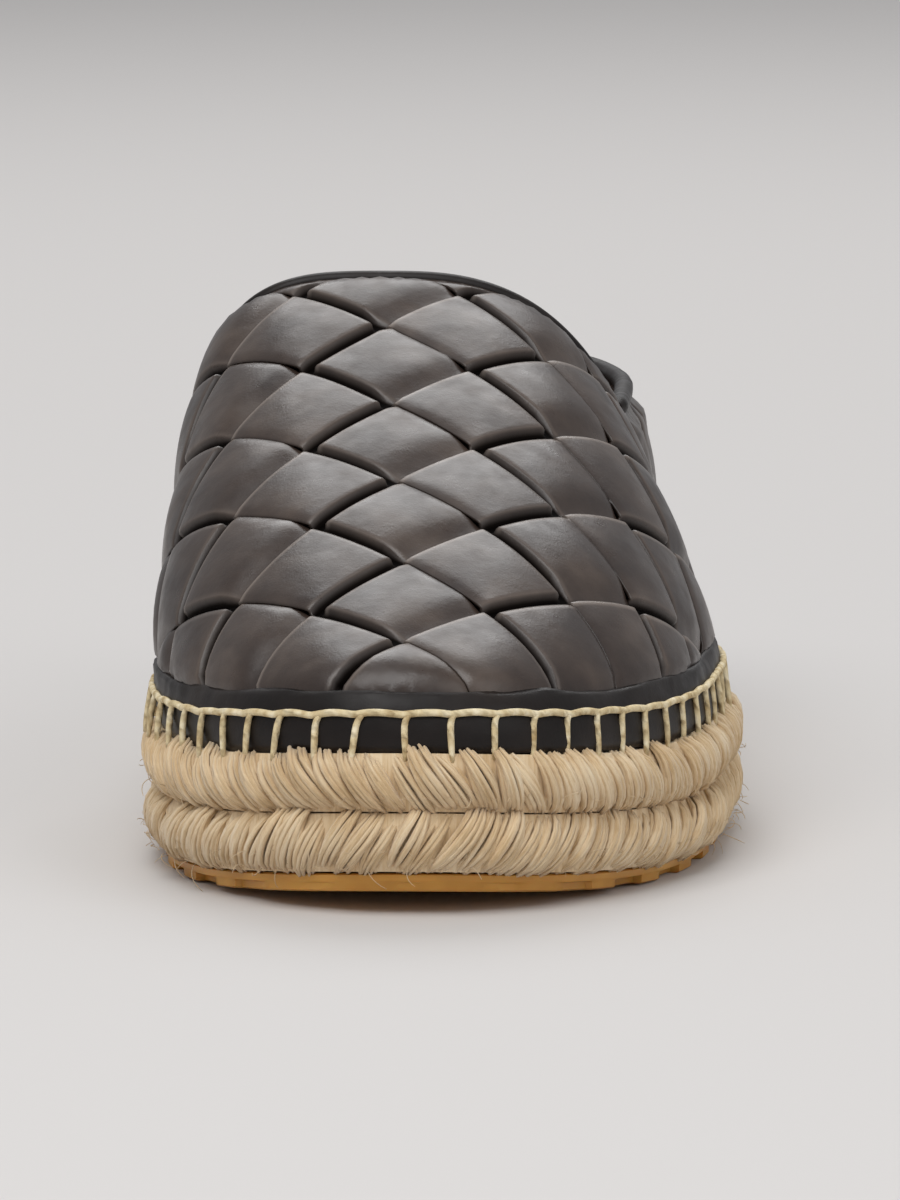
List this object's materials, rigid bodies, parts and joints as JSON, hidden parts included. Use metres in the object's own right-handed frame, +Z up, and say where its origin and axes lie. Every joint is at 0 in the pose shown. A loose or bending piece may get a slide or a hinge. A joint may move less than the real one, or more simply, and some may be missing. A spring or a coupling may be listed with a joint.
{
  "type": "espadrille sneaker",
  "caption": "Slip-on espadrille sneaker with a dark woven leather upper, smooth rand, piped throat, jute braid sole and thin gum rubber outsole.",
  "frame": {"origin": "middle of the shoe's footprint, on the floor", "axes": "+Z up, -Y towards the toe, +X towards the outer side of the left foot"},
  "size_m": [0.1102, 0.2903, 0.1005],
  "materials": {
    "woven_leather": "satin",
    "trim_leather": "satin",
    "jute_braid": "matte",
    "gum_rubber": "satin",
    "elastic_gore": "matte",
    "footbed_leather": "matte"
  },
  "bodies": {
    "root": {"outsole": "gum_rubber", "jute_lower": "jute_braid", "jute_upper": "jute_braid", "insole": "footbed_leather", "upper": "woven_leather", "rand": "trim_leather", "vamp_piping": "trim_leather", "collar_binding": "trim_leather", "gore_lateral": "elastic_gore", "gore_medial": "elastic_gore"}
  },
  "joints": []
}
